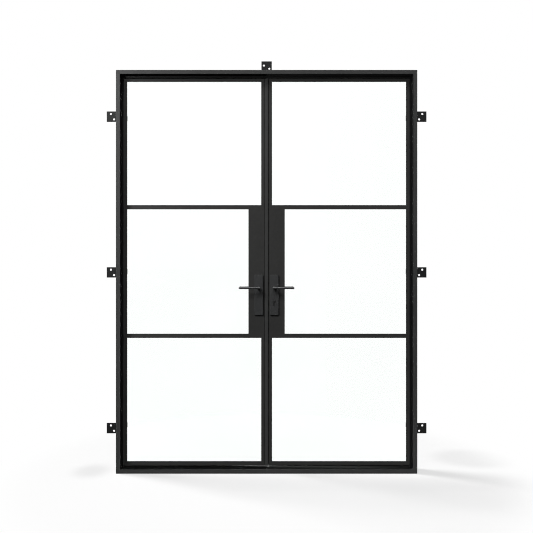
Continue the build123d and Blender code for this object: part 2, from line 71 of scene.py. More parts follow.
# ------------------------------------------------------------------ sizes, in millimetres
HALF_W, FRAME_H, FACE, FRAME_T = 910.0, 2438.0, 25.4, 2.5
YF, YB = -58.0, 58.0
JAMB_IN, HEAD_IN = 884.6, 2412.6
DOOR_F, DOOR_B, FLANGE_Y, MID_Y = 12.5, 57.0, 15.5, 34.75
LEAF_OUT, LEAF_Z0, LEAF_Z1 = 881.4, 30.4, 2410.0
SIGHT, TUBE_W, REBATE, REBATE_IN, WALL = 25.4, 9.4, 16.0, 8.0, 2.0
DAY_IN, DAY_OUT, PANEL_EDGE = 33.1, 856.0, 111.4
DAY_Z0, DAY_Z1 = LEAF_Z0 + SIGHT, LEAF_Z1 - SIGHT
MUNTIN_Z = ((DAY_Z0 + DAY_Z1) / 2 - 394.8, (DAY_Z0 + DAY_Z1) / 2 + 394.8)
MUNTIN_H, WEB_H = 26.0, 4.7
BEAD_F, BEAD_B = 5.4, 3.0
EDGE = {-1: -12.5, 1: 12.0}
STRIP_X0, STRIP_X1, STRIP_Y, STRIP_TOP = -10.5, 8.5, 6.5, 2400.6
STOP_P, STOP_Y0, STOP_Y1, GASKET_Y1 = 10.0, -16.0, 9.0, 12.2
TAB_P, TAB_H, TAB_T, TAB_Z = 68.0, 63.5, 5.0, (262.0, 1215.0, 2168.0)
HINGE_X, HINGE_Y, HINGE_Z = 883.2, 67.0, (270.0, 1220.0, 2170.0)
LEVER_Z, CYL_Z = 1120.0, 1032.0
LEVER_X = {-1: -49.0, 1: 47.0}
LEVER_IN = {-1: -38.5, 1: 36.5}
LEVER_TIP = {-1: -168.5, 1: 168.0}
PLATE_W, PLATE_T, PLATE_Z0, PLATE_Z1 = 52.0, 10.0, 954.0, 1199.0
HUB_R, BAR_R, BAR_OFF = 10.0, 6.0, 50.0
PLATE_SCREW_Z = (967.0, 1186.0)
BEAD_Y0 = 41.5
SIDES = {"left": -1, "right": 1}


# ------------------------------------------------------------------ mesh helpers
def B(x0, x1, y0, y1, z0, z1):
    """A box's six sides, each pair in rising order."""
    return (*sorted((x0, x1)), *sorted((y0, y1)), *sorted((z0, z1)))


def blocks(ops):
    """The skin of a pile of boxes. Each op is (+1 or -1, box), added or taken away in turn."""
    ops = [(s, tuple(round(v, 4) for v in b)) for s, b in ops]
    lines = [sorted({v for _, b in ops for v in b[2 * a:2 * a + 2]}) for a in range(3)]
    full = np.zeros([len(c) + 1 for c in lines], bool)
    for s, b in ops:
        i = [lines[a].index(b[2 * a]) + 1 for a in range(3)]
        j = [lines[a].index(b[2 * a + 1]) + 1 for a in range(3)]
        full[i[0]:j[0], i[1]:j[1], i[2]:j[2]] = s > 0
    bm, seen = bmesh.new(), {}

    def vert(i, j, k):
        if (i, j, k) not in seen:
            seen[i, j, k] = bm.verts.new((lines[0][i] * MM, lines[1][j] * MM, lines[2][k] * MM))
        return seen[i, j, k]

    for a in range(3):
        u, v = (a + 1) % 3, (a + 2) % 3
        here = full
        there = np.roll(full, -1, axis=a)
        for at in np.argwhere(here != there):
            if at[a] >= len(lines[a]):
                continue
            p = [at[0], at[1], at[2]]
            corners = []
            for du, dv in ((0, 0), (1, 0), (1, 1), (0, 1)):
                q = [0, 0, 0]
                q[a], q[u], q[v] = p[a], p[u] - 1 + du, p[v] - 1 + dv
                corners.append(vert(*q))
            if not here[tuple(at)]:
                corners.reverse()
            bm.faces.new(corners)
    bmesh.ops.dissolve_limit(bm, angle_limit=0.002, use_dissolve_boundaries=False, verts=bm.verts, edges=bm.edges)
    bm.normal_update()
    return bm


def soften(bm, width, segments=2, least=40.0, pick=None):
    """Rounds the outward edges of a mesh."""
    edges = [e for e in bm.edges if len(e.link_faces) == 2 and e.is_convex
             and e.calc_face_angle(0) > math.radians(least) and (pick is None or pick(e))]
    if edges:
        bmesh.ops.bevel(bm, geom=edges, offset=width * MM, offset_type="OFFSET", segments=segments, profile=0.5,
                        affect="EDGES", clamp_overlap=True, loop_slide=True)
    bm.normal_update()
    return bm


def loft(bm, rings, closed=True, caps=(False, False)):
    """Joins rings of the same number of points into a skin. Points are vectors in millimetres."""
    rows = [[bm.verts.new(Vector(p) * MM) for p in ring] for ring in rings]
    n = len(rows[0])
    for a, b in zip(rows, rows[1:]):
        for i in range(n if closed else n - 1):
            j = (i + 1) % n
            bm.faces.new((a[i], a[j], b[j], b[i]))
    if caps[0]:
        bm.faces.new(list(reversed(rows[0])))
    if caps[1]:
        bm.faces.new(rows[-1])
    return rows


def lathe(bm, profile, place, count=48, caps=(True, True)):
    """Turns (radius, height) pairs round the +Z axis of the matrix place, which is in millimetres."""
    rings = []
    for r, h in profile:
        rings.append([place @ Vector((r * math.cos(2 * math.pi * k / count), r * math.sin(2 * math.pi * k / count), h))
                      for k in range(count)])
    return loft(bm, rings, caps=caps)


def round_end(r, h, bend, rising=True, steps=4):
    """Profile of a rounded rim: from the face at height h out to radius r."""
    out = []
    for k in range(steps + 1):
        a = math.pi / 2 * k / steps
        out.append((r - bend + bend * math.sin(a), h + (bend - bend * math.cos(a)) * (1 if rising else -1)))
    return out


def axis_place(origin, z_dir, x_dir=None):
    z = Vector(z_dir).normalized()
    x = Vector(x_dir) if x_dir else (Vector((1, 0, 0)) if abs(z.x) < 0.9 else Vector((0, 1, 0)))
    y = z.cross(x).normalized()
    x = y.cross(z).normalized()
    m = Matrix((x, y, z)).transposed().to_4x4()
    m.translation = Vector(origin)
    return m


def circle(cx, cz, r, count=48):
    return [(cx + r * math.cos(2 * math.pi * k / count), cz + r * math.sin(2 * math.pi * k / count)) for k in range(count)]


def rounded(cx, cz, w, h, r, corner=6):
    """Outline of a rounded rectangle, anticlockwise."""
    out = []
    for qx, qz, a0 in ((1, 1, 0), (-1, 1, 90), (-1, -1, 180), (1, -1, 270)):
        for k in range(corner + 1):
            a = math.radians(a0 + 90 * k / corner)
            out.append((cx + qx * (w / 2 - r) + r * math.cos(a), cz + qz * (h / 2 - r) + r * math.sin(a)))
    return out


def profile_hole(cx, cz, grow, count=24):
    """Outline of the keyed cylinder: a round head with a fin below, anticlockwise."""
    r, f = 8.5 + grow, 5.0 + grow
    a = math.asin(f / r)
    out = []
    start, end = -math.pi / 2 + a, 1.5 * math.pi - a
    for k in range(count + 1):
        t = start + (end - start) * k / count
        out.append((cx + r * math.cos(t), cz + r * math.sin(t)))
    for k in range(13):
        t = math.pi + math.pi * k / 12
        out.append((cx + f * math.cos(t), cz - 19.5 + f * math.sin(t)))
    return out


def slab(outline, holes, y_near, y_far, bend_near=0.8, bend_far=0.4, steps=3):
    """A flat plate in the X-Z plane with rounded rims. outline(grow) and each hole(grow) give loops; y_near is the shown face."""
    bm = bmesh.new()
    s = 1 if y_far > y_near else -1
    levels = [(-bend_near * (1 - math.sin(math.pi / 2 * k / steps)), y_near + s * bend_near * (1 - math.cos(math.pi / 2 * k / steps)))
              for k in range(steps + 1)]
    levels += [(-bend_far * (1 - math.cos(math.pi / 2 * k / steps)), y_far - s * bend_far * (1 - math.sin(math.pi / 2 * k / steps)))
               for k in range(steps + 1)]
    first, last = [], []
    for loop, sign in [(outline, 1)] + [(h, -1) for h in holes]:
        rings = [[(x, y, z) for x, z in loop(sign * g)] for g, y in levels]
        rows = [[bm.verts.new(Vector(p) * MM) for p in ring] for ring in rings]
        n = len(rows[0])
        for a, b in zip(rows, rows[1:]):
            for i in range(n):
                j = (i + 1) % n
                bm.faces.new((a[i], a[j], b[j], b[i]))
        first.append(rows[0])
        last.append(rows[-1])
    for side in (first, last):
        edges = []
        for row in side:
            for i in range(len(row)):
                edges.append(bm.edges.get((row[i], row[(i + 1) % len(row)])))
        bmesh.ops.triangle_fill(bm, use_beauty=True, use_dissolve=False, edges=edges)
    bmesh.ops.recalc_face_normals(bm, faces=bm.faces)
    bmesh.ops.dissolve_limit(bm, angle_limit=0.002, use_dissolve_boundaries=False, verts=bm.verts, edges=bm.edges)
    return bm


def cross_loop(r, wide, count=24):
    """A cross-shaped recess outline with as many points as a ring of count points."""
    out = []
    for k in range(count):
        a = 2 * math.pi * k / count
        c, s = math.cos(a), math.sin(a)
        near = min(wide / max(abs(s), 1e-6), r) if abs(c) > abs(s) else min(wide / max(abs(c), 1e-6), r)
        out.append((near * c, near * s))
    return out


def hex_loop(r, count=24):
    out = []
    for k in range(count):
        a = 2 * math.pi * k / count
        t = (a % (math.pi / 3)) - math.pi / 6
        d = r * math.cos(math.pi / 6) / math.cos(t)
        out.append((d * math.cos(a), d * math.sin(a)))
    return out


def screw_into(bm, place, head_r, shank_r, cone, length, recess, depth):
    """A countersunk screw: its head's face lies at the origin of place, and it points down -Z."""
    n = 24
    ring = lambda r, h: [place @ Vector((r * math.cos(2 * math.pi * k / n), r * math.sin(2 * math.pi * k / n), h)) for k in range(n)]
    shape = lambda loop, k, h: [place @ Vector((x * k, y * k, h)) for x, y in loop]
    rows = [ring(shank_r * 0.5, -length), ring(shank_r, -length + 1.2), ring(shank_r, -cone), ring(head_r, -0.25), ring(head_r - 0.15, 0.0),
            shape(recess, 1.06, 0.0), shape(recess, 0.98, -0.15), shape(recess, 0.86, -depth), shape(recess, 0.2, -depth - 0.25)]
    loft(bm, rows, caps=(True, True))


def weld_into(bm, a, b, out, up, radius=2.4, step=0.9, seed=0.0):
    """A rippled weld bead from a to b, in the corner between the directions out and up."""
    a, b, out, up = (Vector(v) for v in (a, b, out, up))
    along = (b - a)
    length = along.length
    along.normalize()
    n = max(8, int(length / step))
    rings = []
    for k in range(n + 1):
        t = k / n
        d = t * length
        fade = min(1.0, min(d, length - d) / 1.6 + 0.35)
        ripple = 0.86 + 0.14 * abs(math.sin(math.pi * d / 2.3 + seed)) + 0.04 * math.sin(d * 0.61 + seed * 3)
        r = radius * ripple * fade
        row = []
        for m in range(9):
            w = math.radians(-14 + 118 * m / 8)
            lag = 0.55 * math.sin(math.radians(180 * m / 8))
            row.append(a + along * min(max(d + lag - 0.3, 0.0), length) + out * (r * math.cos(w)) + up * (r * math.sin(w)))
        row.append(a + along * d - out * 0.8 - up * 0.8)
        rings.append(row)
    loft(bm, rings, caps=(True, True))


def clean(bm):
    bmesh.ops.recalc_face_normals(bm, faces=bm.faces)
    bm.normal_update()
    return bm


def piece(name, bm, body, material, stands_for=(), shade="weighted", angle=38.0):
    me = bpy.data.meshes.new(name)
    bm.to_mesh(me)
    bm.free()
    me.polygons.foreach_set("use_smooth", [True] * len(me.polygons))
    ob = bpy.data.objects.new(name, me)
    scene.collection.objects.link(ob)
    me.materials.append(material)
    finish_piece(ob, body, stands_for, shade, angle)
    return ob


def finish_piece(ob, body, stands_for, shade="weighted", angle=38.0):
    if shade == "weighted":
        w = ob.modifiers.new("even_normals", "WEIGHTED_NORMAL")
        w.mode = "FACE_AREA"
        w.weight = 100
        w.keep_sharp = True
    elif shade == "angle":
        ob.data.set_sharp_from_angle(angle=math.radians(angle))
    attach(ob, body)
    if stands_for:
        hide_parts(*stands_for)


def temp(bm, name="cutter"):
    me = bpy.data.meshes.new(name)
    bm.to_mesh(me)
    bm.free()
    ob = bpy.data.objects.new(name, me)
    scene.collection.objects.link(ob)
    return ob


def boolean(bm, others, operation="DIFFERENCE", after=None):
    """bm with the other meshes taken away or added, as a new bmesh."""
    ob = temp(bm, "work")
    tools = [temp(o) for o in others]
    for t in tools:
        m = ob.modifiers.new("b", "BOOLEAN")
        m.object, m.operation, m.solver = t, operation, "EXACT"
    if after:
        after(ob)
    got = bpy.data.meshes.new_from_object(ob.evaluated_get(bpy.context.evaluated_depsgraph_get()))
    out = bmesh.new()
    out.from_mesh(got)
    for o in [ob] + tools:
        me = o.data
        bpy.data.objects.remove(o)
        bpy.data.meshes.remove(me)
    bpy.data.meshes.remove(got)
    return out


def rod(origin, z_dir, r, length, count=32):
    bm = bmesh.new()
    lathe(bm, [(r, 0), (r, length)], axis_place(origin, z_dir), count)
    return clean(bm)


# ------------------------------------------------------------------ materials
class Tree:
    def __init__(self, name):
        self.mat = bpy.data.materials.new(name)
        self.mat.use_nodes = True
        self.nt = self.mat.node_tree
        self.nt.nodes.clear()
        self.out = self.nt.nodes.new("ShaderNodeOutputMaterial")
        self.p = self.nt.nodes.new("ShaderNodeBsdfPrincipled")
        self.nt.links.new(self.p.outputs[0], self.out.inputs["Surface"])
        self.at = self.nt.nodes.new("ShaderNodeTexCoord").outputs["Object"]

    def link(self, a, b):
        self.nt.links.new(a, b)

    def noise(self, scale, detail=3.0, rough=0.5, stretch=None):
        n = self.nt.nodes.new("ShaderNodeTexNoise")
        n.inputs["Scale"].default_value = scale
        n.inputs["Detail"].default_value = detail
        n.inputs["Roughness"].default_value = rough
        at = self.at
        if stretch:
            m = self.nt.nodes.new("ShaderNodeMapping")
            m.inputs["Scale"].default_value = stretch
            self.link(at, m.inputs["Vector"])
            at = m.outputs[0]
        self.link(at, n.inputs["Vector"])
        return n.outputs["Fac"]

    def span(self, fac, low, high, from_low=0.3, from_high=0.7):
        n = self.nt.nodes.new("ShaderNodeMapRange")
        n.inputs["From Min"].default_value = from_low
        n.inputs["From Max"].default_value = from_high
        n.inputs["To Min"].default_value = low
        n.inputs["To Max"].default_value = high
        self.link(fac, n.inputs["Value"])
        return n.outputs[0]

    def mix(self, fac, a, b):
        n = self.nt.nodes.new("ShaderNodeMix")
        n.data_type = "RGBA"
        for k, v in (("A", a), ("B", b)):
            sock = [i for i in n.inputs if i.name == k and i.type == "RGBA"][0]
            if isinstance(v, tuple):
                sock.default_value = (*v, 1.0)
            else:
                self.link(v, sock)
        self.link(fac, [i for i in n.inputs if i.name == "Factor" and i.type == "VALUE"][0])
        return [o for o in n.outputs if o.type == "RGBA"][0]

    def math(self, op, a, b):
        n = self.nt.nodes.new("ShaderNodeMath")
        n.operation = op
        for i, v in enumerate((a, b)):
            if isinstance(v, (int, float)):
                n.inputs[i].default_value = v
            else:
                self.link(v, n.inputs[i])
        return n.outputs[0]

    def bump(self, height, strength, distance, normal=None):
        n = self.nt.nodes.new("ShaderNodeBump")
        n.inputs["Strength"].default_value = strength
        n.inputs["Distance"].default_value = distance
        self.link(height, n.inputs["Height"])
        if normal is not None:
            self.link(normal, n.inputs["Normal"])
        return n.outputs[0]


def powder_coat(name, low, high, rough=(0.44, 0.56), peel=0.20, grain=900.0, shine=0.5):
    """Satin black powder coat: fine orange peel, a slow drift of tone and gloss, and a finer mottle of tone."""
    t = Tree(name)
    slow = t.noise(1.7, 4.0, 0.55)
    fine = t.noise(55.0, 3.0, 0.6)
    both = t.math("ADD", t.math("MULTIPLY", slow, 0.65), t.math("MULTIPLY", fine, 0.35))
    t.link(t.mix(t.span(both, 0.0, 1.0, 0.36, 0.64), low, high), t.p.inputs["Base Color"])
    gloss = t.math("ADD", t.math("MULTIPLY", t.noise(4.5, 3.0, 0.5), 0.6), t.math("MULTIPLY", t.noise(130.0, 2.0, 0.5), 0.4))
    t.link(t.span(gloss, rough[0], rough[1], 0.35, 0.65), t.p.inputs["Roughness"])
    wide = t.bump(t.noise(26.0, 2.0, 0.5), 0.10, 0.0004)
    t.link(t.bump(t.noise(grain, 2.0, 0.55), peel, 0.00012, wide), t.p.inputs["Normal"])
    t.p.inputs["IOR"].default_value = 1.5
    t.p.inputs["Specular IOR Level"].default_value = shine
    return t.mat


def steel(name, low, high, rough=(0.26, 0.42), stretch=(1.0, 1.0, 0.03), metal=1.0):
    """Plated or blackened steel with fine drawn lines."""
    t = Tree(name)
    lines = t.noise(900.0, 4.0, 0.6, stretch)
    cloud = t.noise(18.0, 4.0, 0.6)
    t.link(t.mix(t.span(t.math("ADD", t.math("MULTIPLY", lines, 0.5), t.math("MULTIPLY", cloud, 0.5)), 0.0, 1.0, 0.36, 0.64), low, high),
           t.p.inputs["Base Color"])
    t.link(t.span(lines, rough[0], rough[1], 0.3, 0.7), t.p.inputs["Roughness"])
    t.link(t.bump(lines, 0.25, 0.00006), t.p.inputs["Normal"])
    t.p.inputs["Metallic"].default_value = metal
    return t.mat


def rubber(name, low, high):
    t = Tree(name)
    t.link(t.mix(t.span(t.noise(160.0, 4.0, 0.6), 0.0, 1.0), low, high), t.p.inputs["Base Color"])
    t.link(t.span(t.noise(12.0, 3.0, 0.5), 0.62, 0.8), t.p.inputs["Roughness"])
    t.link(t.bump(t.noise(1400.0, 2.0, 0.6), 0.25, 0.0001), t.p.inputs["Normal"])
    return t.mat


def clear_glass(name):
    t = Tree(name)
    t.link(t.mix(t.span(t.noise(2.2, 2.0, 0.5), 0.0, 1.0), (0.975, 0.99, 0.982), (0.985, 0.995, 0.99)), t.p.inputs["Base Color"])
    t.p.inputs["Roughness"].default_value = 0.0
    t.p.inputs["IOR"].default_value = 1.5
    t.p.inputs["Transmission Weight"].default_value = 1.0
    return t.mat


M = {
    "tab": powder_coat("tab_coat", (0.0070, 0.0073, 0.0074), (0.0105, 0.0109, 0.0110), shine=0.14),
    "black_frame": powder_coat("frame_coat", (0.0215, 0.0221, 0.0219), (0.0290, 0.0297, 0.0294), shine=0.20),
    "black_leaf": powder_coat("leaf_coat", (0.0150, 0.0150, 0.0146), (0.0210, 0.0210, 0.0204), shine=0.22),
    "black_hardware": powder_coat("hardware_coat", (0.0132, 0.0138, 0.0141), (0.0184, 0.0191, 0.0195), shine=0.35, rough=(0.40, 0.50), peel=0.10, grain=1500.0),
    "black_screw": steel("screw_black", (0.045, 0.045, 0.046), (0.08, 0.08, 0.081), rough=(0.38, 0.5), stretch=(1.0, 1.0, 1.0)),
    "pin_steel": steel("pin_black", (0.06, 0.06, 0.06), (0.11, 0.11, 0.11), rough=(0.3, 0.45)),
    "lock_steel": steel("lock_zinc", (0.50, 0.50, 0.49), (0.66, 0.66, 0.64)),
    "cylinder_metal": steel("cylinder_dark", (0.07, 0.07, 0.07), (0.12, 0.12, 0.12), rough=(0.28, 0.4), stretch=(1.0, 0.05, 1.0)),
    "seal_rubber": rubber("seal_rubber", (0.010, 0.010, 0.010), (0.020, 0.020, 0.020)),
    "black_spacer": rubber("warm_edge", (0.014, 0.014, 0.014), (0.022, 0.022, 0.022)),
    "clear_glass": clear_glass("float_glass"),
}
slot_of = {p["node"]: p["material_slot"] for p in frame["record"]["subparts"]}
for name, ob in nodes.items():
    if not ob.material_slots:
        ob.data.materials.append(None)
    for s in ob.material_slots:
        s.link = "OBJECT"
        s.material = M[slot_of[name]]


def ease_node(name, width=0.4, segments=2, angle=40.0):
    """Rounds the sharp edges of a CAD node as it is shown."""
    ob = nodes[name]
    w = ob.modifiers.new("join", "WELD")
    w.merge_threshold = 1e-5
    b = ob.modifiers.new("soft_edges", "BEVEL")
    b.width, b.segments, b.limit_method, b.angle_limit = width * MM, segments, "ANGLE", math.radians(angle)
    b.use_clamp_overlap = True
    b.harden_normals = True


# ------------------------------------------------------------------ frame
W, H, F, T = HALF_W, FRAME_H, FACE, FRAME_T
ops = [(1, B(-W, W, YF, YB, 0, H)),
       (-1, B(-W + F, W - F, YF, YB, F, H - F)),
       (-1, B(-W + T, -W + F - T, YF + T, YB - T, T, H - T)),
       (-1, B(W - F + T, W - T, YF + T, YB - T, T, H - T)),
       (-1, B(-W + F - T, W - F + T, YF + T, YB - T, T, F - T)),
       (-1, B(-W + F - T, W - F + T, YF + T, YB - T, H - F + T, H - T))]
bm = soften(blocks(ops), 2.6, 5)
bm = boolean(bm, [rod((-2.0, 47.5, HEAD_IN - 1), (0, 0, 1), 5.4, 4.5), rod((-2.0, 47.5, FACE + 1), (0, 0, -1), 5.4, 4.5)])
piece("frame_tube", bm, "frame", M["black_frame"],
      ("frame_head", "frame_sill", "frame_left_jamb", "frame_right_jamb"))

bm = soften(blocks([(1, B(-JAMB_IN, -JAMB_IN + STOP_P, STOP_Y0, STOP_Y1, FACE, HEAD_IN)),
                    (1, B(JAMB_IN, JAMB_IN - STOP_P, STOP_Y0, STOP_Y1, FACE, HEAD_IN)),
                    (1, B(-JAMB_IN + STOP_P, JAMB_IN - STOP_P, STOP_Y0, STOP_Y1, HEAD_IN - STOP_P, HEAD_IN))]), 0.9, 3)
piece("door_stop_bars", bm, "frame", M["black_frame"], ("door_stops",))


def seal_bar(bm, a, b, out, width):
    """A soft seal on the back of the stop, from a to b: a flat foot with a rounded bulb. out points away from the jamb."""
    a, b, out = Vector(a), Vector(b), Vector(out)
    shape = [(0.0, 0.0), (0.0, 0.9)]
    for k in range(13):
        t = math.pi * k / 12
        shape.append((width / 2 - (width / 2 - 0.3) * math.cos(t), 0.9 + 2.3 * math.sin(t) ** 0.8 if 0 < k < 12 else 0.9))
    shape += [(width, 0.9), (width, 0.0)]
    rings = [[p + out * u + Vector((0, v, 0)) for u, v in shape] for p in (a, b)]
    loft(bm, rings, caps=(True, True))


bm = bmesh.new()
for s in (-1, 1):
    seal_bar(bm, (s * 881.0, STOP_Y1, FACE), (s * 881.0, STOP_Y1, 2408.6), (-s, 0, 0), 5.8)
seal_bar(bm, (-875.2, STOP_Y1, 2408.6), (875.2, STOP_Y1, 2408.6), (0, 0, -1), 5.4)
piece("stop_seals", clean(bm), "frame", M["seal_rubber"], ("stop_gaskets",), shade="angle")


def tab_slab(cx, cz, w, h, holes):
    return slab(lambda g: rounded(cx, cz, w + 2 * g, h + 2 * g, max(1.6 + g, 0.3)),
                [lambda g, c=c: circle(c[0], c[1], 6.5 + g, 40) for c in holes], -TAB_T / 2, TAB_T / 2, 0.5, 0.5, 3)


bm = bmesh.new()
welds = bmesh.new()
plates = []
for s in (-1, 1):
    for n, z in enumerate(TAB_Z):
        plates.append(tab_slab(s * (W + TAB_P / 2 - 0.25), z, TAB_P + 0.5, TAB_H,
                               [(s * (W + 42.5), z + 16.5), (s * (W + 23.5), z - 16.5)]))
        for y in (-1, 1):
            weld_into(welds, (s * W, y * TAB_T / 2, z - TAB_H / 2 + 3), (s * W, y * TAB_T / 2, z + TAB_H / 2 - 3),
                      (s, 0, 0), (0, y, 0), 2.6, 0.9, n + s)
plates.append(tab_slab(0, H + TAB_P / 2 - 0.25, TAB_H, TAB_P + 0.5, [(-16.5, H + 42.5), (16.5, H + 23.5)]))
for y in (-1, 1):
    weld_into(welds, (-TAB_H / 2 + 3, y * TAB_T / 2, H), (TAB_H / 2 - 3, y * TAB_T / 2, H), (0, 0, 1), (0, y, 0), 2.6, 0.9, 5)
for p in plates:
    me = bpy.data.meshes.new("t")
    p.to_mesh(me)
    p.free()
    bm.from_mesh(me)
    bpy.data.meshes.remove(me)
piece("wall_tabs", bm, "frame", M["tab"], ("anchor_tabs",))
piece("tab_welds", clean(welds), "frame", M["black_frame"], shade="angle", angle=60)

# hinge barrels keep their CAD shape with eased rims, and get their weld beads
for name in ("frame_hinge_knuckles", "hinge_pins", "left_hinge_knuckles", "right_hinge_knuckles"):
    ease_node(name, 0.5, 2, 50)
KH, KG = 33.0, 0.5
frame_beads = bmesh.new()
for s in (-1, 1):
    for zc in HINGE_Z:
        z0 = zc - 1.5 * KH - KG
        for k in (0, 2):
            a = z0 + k * (KH + KG)
            weld_into(frame_beads, (s * (W - 2), YB, a + 1), (s * (W - 2), YB, a + KH - 1), (s * 0.7, 0, 0), (0, 1, 0), 1.8, 0.9, k + zc)
piece("frame_hinge_welds", clean(frame_beads), "frame", M["black_frame"], shade="angle", angle=60)
for side, s in SIDES.items():
    beads = bmesh.new()
    for zc in HINGE_Z:
        weld_into(beads, (s * 864.0, DOOR_B, zc - KH / 2 + 1), (s * 864.0, DOOR_B, zc + KH / 2 - 1), (-s * 0.8, 0, 0), (0, 1, 0), 2.2, 0.9, zc)
    piece(f"{side}_hinge_welds", clean(beads), f"{side}_leaf", M["black_leaf"], shade="angle", angle=60)


# ------------------------------------------------------------------ leaves
def rebates(s):
    """Walls of the glazing rebates of a leaf, from the bottom up: x0, x1, z0, z1."""
    out = []
    for i in range(3):
        x0, x1 = sorted((s * ((PANEL_EDGE if i == 1 else DAY_IN) - REBATE_IN), s * (DAY_OUT + REBATE)))
        out.append((x0, x1, LEAF_Z0 + TUBE_W if i == 0 else MUNTIN_Z[i - 1] + WEB_H, LEAF_Z1 - TUBE_W if i == 2 else MUNTIN_Z[i] - WEB_H))
    return out


for side, s in SIDES.items():
    body = f"{side}_leaf"
    edge, inner, outer, lx, w = EDGE[s], s * (DAY_IN - REBATE_IN), s * (DAY_OUT + REBATE), LEVER_X[s], WALL
    ops = [
        # hinge stile
        (1, B(outer, s * LEAF_OUT, DOOR_F, DOOR_B, LEAF_Z0, LEAF_Z1)),
        (-1, B(outer + s * w, s * (LEAF_OUT - w), DOOR_F + w, DOOR_B - w, LEAF_Z0 + w, LEAF_Z1 - w)),
        (1, B(s * DAY_OUT, outer, DOOR_F, FLANGE_Y, LEAF_Z0 + TUBE_W, LEAF_Z1 - TUBE_W)),
        # meeting stile
        (1, B(edge, inner, DOOR_F, DOOR_B, LEAF_Z0, LEAF_Z1)),
        (-1, B(edge + s * w, inner - s * w, DOOR_F + w, DOOR_B - w, LEAF_Z0 + w, LEAF_Z1 - w)),
        (1, B(inner, s * DAY_IN, DOOR_F, FLANGE_Y, LEAF_Z0 + TUBE_W, LEAF_Z1 - TUBE_W)),
    ]
    for z_out, d in ((LEAF_Z0, 1), (LEAF_Z1, -1)):
        z_in = z_out + d * TUBE_W
        ops += [(1, B(inner, outer, DOOR_F, DOOR_B, z_out, z_in)),
                (-1, B(inner, outer, DOOR_F + w, DOOR_B - w, z_out + d * w, z_in - d * w)),
                (1, B(s * DAY_IN, s * DAY_OUT, DOOR_F, FLANGE_Y, z_in, z_in + d * REBATE))]
    for z in MUNTIN_Z:
        ops += [(1, B(inner, outer, FLANGE_Y, DOOR_B, z - WEB_H, z + WEB_H)),
                (-1, B(inner, outer, FLANGE_Y + w, DOOR_B - w, z - WEB_H + w, z + WEB_H - w)),
                (1, B(s * DAY_IN, s * DAY_OUT, DOOR_F, FLANGE_Y, z - MUNTIN_H / 2, z + MUNTIN_H / 2))]
    z0, z1 = MUNTIN_Z[0] + WEB_H, MUNTIN_Z[1] - WEB_H
    wall_x = s * (PANEL_EDGE - REBATE_IN)
    ops += [(1, B(s * DAY_IN, s * PANEL_EDGE, DOOR_F, FLANGE_Y, MUNTIN_Z[0] + MUNTIN_H / 2, MUNTIN_Z[1] - MUNTIN_H / 2)),
            (1, B(wall_x, wall_x - s * 3, FLANGE_Y, DOOR_B, z0, z1)),
            (1, B(inner, wall_x, DOOR_B - 3, DOOR_B, z0, z1)),
            (-1, B(lx - 11, lx + 11, DOOR_F, FLANGE_Y, LEVER_Z - 11, LEVER_Z + 11)),
            (-1, B(lx - 11, lx + 11, DOOR_B - 3, DOOR_B, LEVER_Z - 11, LEVER_Z + 11))]
    if s > 0:
        ops += [(-1, B(lx - 9.6, lx + 9.6, DOOR_F, FLANGE_Y, 1006.5, 1041.6)),
                (-1, B(lx - 9.6, lx + 9.6, DOOR_B - 3, DOOR_B, 1006.5, 1041.6)),
                (-1, B(edge, edge + w + 0.5, MID_Y - 10.05, MID_Y + 10.05, 979.9, 1195.1)),
                (-1, B(inner - w, inner, MID_Y - 7.75, MID_Y + 7.75, 999.7, 1176.3))]
    else:
        for za, zb in ((1147.0, 1176.0), (1064.0, 1093.0)):
            ops += [(-1, B(inner, edge, 43.5, 51.5, za, zb))]
    bm = soften(blocks(ops), 0.8, 3)
    piece(f"{side}_leaf_frame", bm, body, M["black_leaf"],
          tuple(f"{side}_{n}" for n in ("hinge_stile", "meeting_stile", "top_rail", "bottom_rail", "muntins", "lock_panel")))

    # glazing beads keep their CAD shape, screw holes and all, with eased edges
    ease_node(f"{side}_glazing_beads", 0.6, 2, 40)
    for n in ("top_glass", "middle_glass", "bottom_glass"):
        nodes[f"{side}_{n}"].visible_shadow = False

    # bead screws with a cross recess, square to the sloping faces of the beads
    bm = bmesh.new()
    slope = Vector((BEAD_F - BEAD_B, DOOR_B - BEAD_Y0)).normalized()
    for x0, x1, za, zb in rebates(s):
        yc, thick = (BEAD_Y0 + DOOR_B) / 2, (BEAD_F + BEAD_B) / 2
        places = []
        for k in range(4):
            x = x0 + 60 + k * (x1 - x0 - 120) / 3
            places += [((x, yc, za + thick), (0, slope.x, slope.y)), ((x, yc, zb - thick), (0, slope.x, -slope.y))]
        for k in range(3):
            z = za + 70 + k * (zb - za - 140) / 2
            places += [((x0 + thick, yc, z), (slope.y, slope.x, 0)), ((x1 - thick, yc, z), (-slope.y, slope.x, 0))]
        for n, (o, d) in enumerate(places):
            turn = Matrix.Rotation(0.37 * n + s, 4, "Z")
            screw_into(bm, axis_place(Vector(o) - Vector(d) * 0.05, d) @ turn, 3.4, 1.75, 1.65, 7.9, cross_loop(1.9, 0.42), 1.3)
    piece(f"{side}_bead_screw_set", clean(bm), body, M["black_screw"], (f"{side}_bead_screws",), shade="angle")

